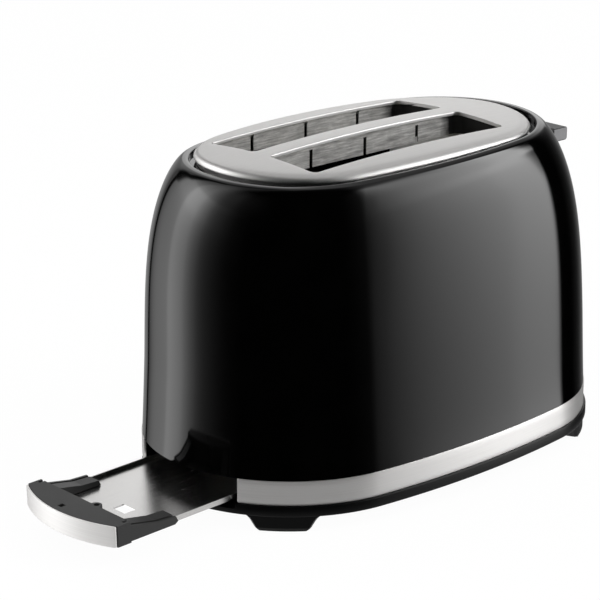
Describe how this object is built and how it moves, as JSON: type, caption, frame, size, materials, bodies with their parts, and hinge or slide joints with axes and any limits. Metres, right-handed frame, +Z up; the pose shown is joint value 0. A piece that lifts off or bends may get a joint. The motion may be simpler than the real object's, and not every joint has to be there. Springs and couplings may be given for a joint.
{
  "type": "two-slot toaster",
  "caption": "Rounded retro toaster with a gloss shell, brushed steel top and trim band, an end lever, and a crumb tray that pulls out of the far end.",
  "frame": {"origin": "On the table under the middle of the whole stored object's box, with the crumb tray drawn out as in the picture", "axes": "+X along the toaster towards the lever and controls, -X towards the crumb tray's front, +Y towards the far long side, +Z up"},
  "size_m": [0.3754, 0.1772, 0.1897],
  "materials": {
    "gloss_shell": "gloss black enamel",
    "brushed_panel": "bright brushed",
    "brushed_band": "bright brushed",
    "brushed_face": "bright brushed",
    "bright_pan": "satin",
    "galvanised_sheet": "dull streaky zinc coat",
    "bright_steel": "satin",
    "zinc_screw": "satin",
    "black_base": "satin black",
    "grey_tray_front": "satin dark grey",
    "grey_knob": "satin dark grey",
    "black_rubber": "matt",
    "mica_card": "matt mica with resistance ribbon",
    "board_laminate": "green laminate",
    "copper_winding": "enamelled copper winding"
  },
  "bodies": {
    "case": {"outer_shell": "gloss_shell", "top_panel": "brushed_panel", "trim_band": "brushed_band", "base": "black_base", "cord_inlet": "black_rubber", "chassis_plate_front": "galvanised_sheet", "chassis_plate_rear": "galvanised_sheet", "carriage_rod": "bright_steel", "rod_bracket": "galvanised_sheet", "return_spring": "bright_steel", "magnet_core": "bright_steel", "magnet_coil": "copper_winding", "control_console": "black_base", "circuit_board": "board_laminate", "control_pot": "grey_knob", "foot_front_near": "black_base", "foot_pad_front_near": "black_rubber", "base_screw_front_near": "zinc_screw", "foot_front_far": "black_base", "foot_pad_front_far": "black_rubber", "base_screw_front_far": "zinc_screw", "foot_rear_near": "black_base", "foot_pad_rear_near": "black_rubber", "base_screw_rear_near": "zinc_screw", "foot_rear_far": "black_base", "foot_pad_rear_far": "black_rubber", "base_screw_rear_far": "zinc_screw", "throat_liner_near": "galvanised_sheet", "heater_near_outer": "mica_card", "heater_near_inner": "mica_card", "throat_liner_far": "galvanised_sheet", "heater_far_outer": "mica_card", "heater_far_inner": "mica_card", "switch_cancel": "grey_knob", "switch_reheat": "grey_knob", "switch_defrost": "grey_knob"},
    "bread_carriage": {"carriage": "galvanised_sheet", "bread_rack_near": "galvanised_sheet", "bread_rack_far": "galvanised_sheet", "lever_arm": "galvanised_sheet", "lever_knob": "grey_knob", "armature": "bright_steel"},
    "guide_near_outer": {"bread_guide_near_outer": "bright_steel"},
    "guide_near_inner": {"bread_guide_near_inner": "bright_steel"},
    "guide_far_outer": {"bread_guide_far_outer": "bright_steel"},
    "guide_far_inner": {"bread_guide_far_inner": "bright_steel"},
    "dial": {"browning_dial": "grey_knob", "dial_shaft": "bright_steel"},
    "cancel_button": {"button_cancel": "grey_knob"},
    "reheat_button": {"button_reheat": "grey_knob"},
    "defrost_button": {"button_defrost": "grey_knob"},
    "crumb_tray": {"tray_face": "brushed_face", "tray_front": "grey_tray_front", "tray_pan": "bright_pan"}
  },
  "joints": [
    {"name": "carriage_slide", "type": "slide", "parent": "case", "child": "bread_carriage", "axis": [0, 0, -1], "range_m": [0, 0.074], "stiffness_N_per_m": 60, "springref_m": -0.06, "deforming": ["return_spring"]},
    {"name": "guide_near_outer_slide", "type": "slide", "parent": "case", "child": "guide_near_outer", "axis": [0, 1, 0], "range_m": [0, 0.0071]},
    {"name": "guide_near_inner_slide", "type": "slide", "parent": "case", "child": "guide_near_inner", "axis": [0, -1, 0], "range_m": [0, 0.0071]},
    {"name": "guide_far_outer_slide", "type": "slide", "parent": "case", "child": "guide_far_outer", "axis": [0, -1, 0], "range_m": [0, 0.0071]},
    {"name": "guide_far_inner_slide", "type": "slide", "parent": "case", "child": "guide_far_inner", "axis": [0, 1, 0], "range_m": [0, 0.0071]},
    {"name": "dial_turn", "type": "hinge", "parent": "case", "child": "dial", "pos_m": [0.18124, 0, 0.054], "axis": [1, 0, 0], "range_deg": [-135, 135]},
    {"name": "cancel_press", "type": "slide", "parent": "case", "child": "cancel_button", "axis": [-1, 0, 0], "range_m": [0, 0.002], "stiffness_N_per_m": 300, "springref_m": -0.002},
    {"name": "reheat_press", "type": "slide", "parent": "case", "child": "reheat_button", "axis": [-1, 0, 0], "range_m": [0, 0.002], "stiffness_N_per_m": 300, "springref_m": -0.002},
    {"name": "defrost_press", "type": "slide", "parent": "case", "child": "defrost_button", "axis": [-1, 0, 0], "range_m": [0, 0.002], "stiffness_N_per_m": 300, "springref_m": -0.002},
    {"name": "tray_slide", "type": "slide", "parent": "case", "child": "crumb_tray", "axis": [-0.9997, 0, -0.0262], "range_m": [-0.07935, 0.095]}
  ],
  "couplings": [
    {"joint": "guide_near_outer_slide", "follows": "carriage_slide", "ratio": 0.0945},
    {"joint": "guide_near_inner_slide", "follows": "carriage_slide", "ratio": 0.0945},
    {"joint": "guide_far_outer_slide", "follows": "carriage_slide", "ratio": 0.0945},
    {"joint": "guide_far_inner_slide", "follows": "carriage_slide", "ratio": 0.0945}
  ]
}
